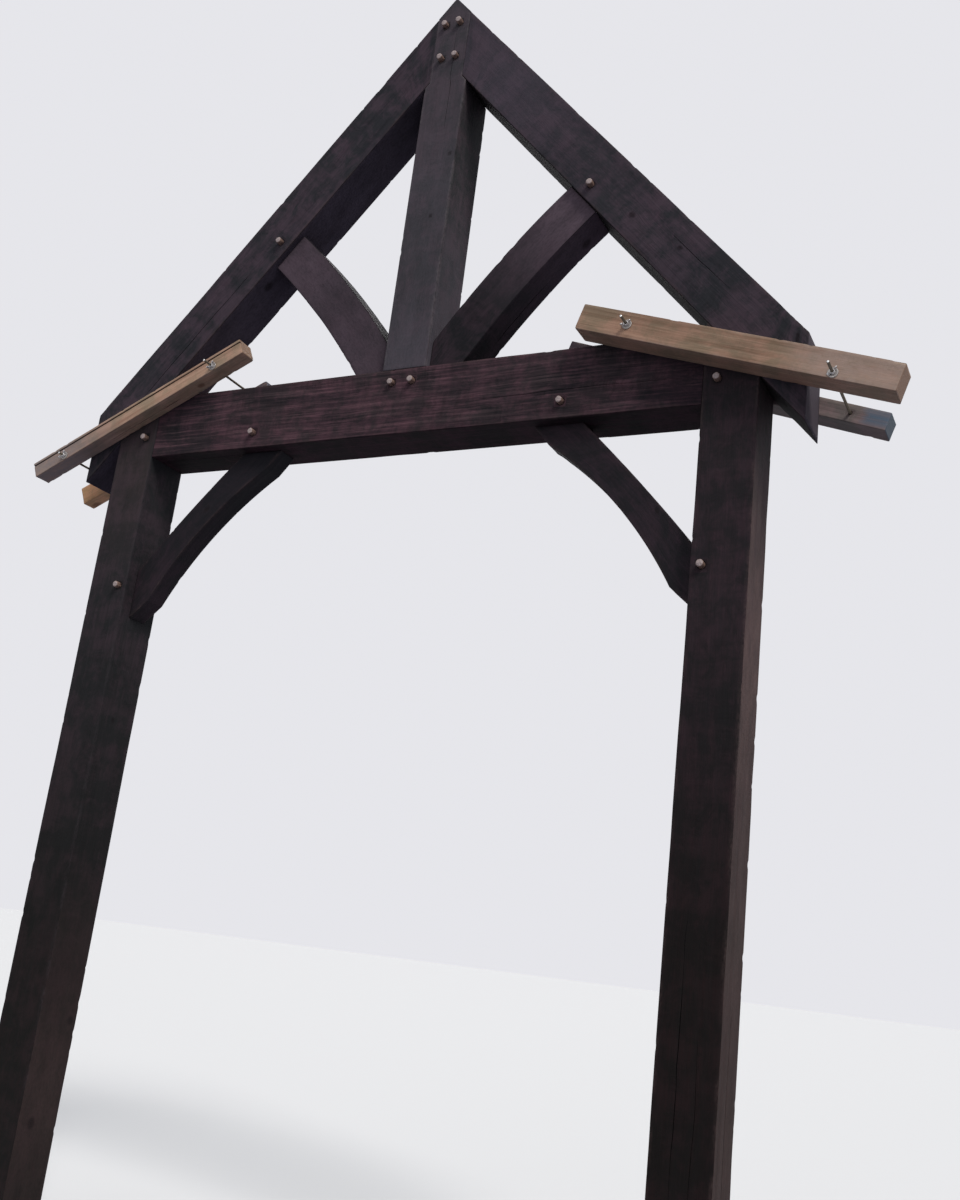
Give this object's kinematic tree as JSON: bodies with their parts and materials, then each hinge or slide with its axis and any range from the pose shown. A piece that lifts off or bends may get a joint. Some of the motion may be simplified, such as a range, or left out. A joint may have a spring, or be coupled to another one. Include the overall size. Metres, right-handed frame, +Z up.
{
  "type": "timber frame bent",
  "caption": "Pegged timber-frame bent: posts under a tie beam, king post, rafters, curved struts and knee braces, with battens clamped across each eave",
  "frame": {"origin": "middle of the left post's foot, on the ground", "axes": "+Z up along the posts, +X along the tie beam to the right post, +Y from the front of the bent to its back"},
  "size_m": [3.6823, 0.5, 5.0159],
  "materials": {
    "stained_timber": "dark stained, rough sawn",
    "oak_peg": "riven oak",
    "pale_batten": "bare sawn softwood",
    "zinc_steel": "zinc plated"
  },
  "bodies": {
    "root": {"tie_beam": "stained_timber", "king_post": "stained_timber", "left_post": "stained_timber", "right_post": "stained_timber", "left_rafter": "stained_timber", "right_rafter": "stained_timber", "left_strut": "stained_timber", "right_strut": "stained_timber", "left_brace": "stained_timber", "right_brace": "stained_timber", "left_peg_rafter_upper": "oak_peg", "right_peg_rafter_upper": "oak_peg", "left_peg_rafter_lower": "oak_peg", "right_peg_rafter_lower": "oak_peg", "left_peg_king_foot": "oak_peg", "right_peg_king_foot": "oak_peg", "left_peg_strut": "oak_peg", "right_peg_strut": "oak_peg", "left_peg_tie": "oak_peg", "right_peg_tie": "oak_peg", "left_peg_brace_tie": "oak_peg", "right_peg_brace_tie": "oak_peg", "left_peg_brace_post": "oak_peg", "right_peg_brace_post": "oak_peg", "left_batten_front": "pale_batten", "left_batten_rear": "pale_batten", "left_rod_inner": "zinc_steel", "left_washer_front_inner": "zinc_steel", "left_washer_rear_inner": "zinc_steel", "left_wing_nut_inner": "zinc_steel", "left_hex_nut_inner": "zinc_steel", "left_rod_outer": "zinc_steel", "left_washer_front_outer": "zinc_steel", "left_washer_rear_outer": "zinc_steel", "left_wing_nut_outer": "zinc_steel", "left_hex_nut_outer": "zinc_steel", "right_batten_front": "pale_batten", "right_batten_rear": "pale_batten", "right_rod_inner": "zinc_steel", "right_washer_front_inner": "zinc_steel", "right_washer_rear_inner": "zinc_steel", "right_wing_nut_inner": "zinc_steel", "right_hex_nut_inner": "zinc_steel", "right_rod_outer": "zinc_steel", "right_washer_front_outer": "zinc_steel", "right_washer_rear_outer": "zinc_steel", "right_wing_nut_outer": "zinc_steel", "right_hex_nut_outer": "zinc_steel"}
  },
  "joints": []
}
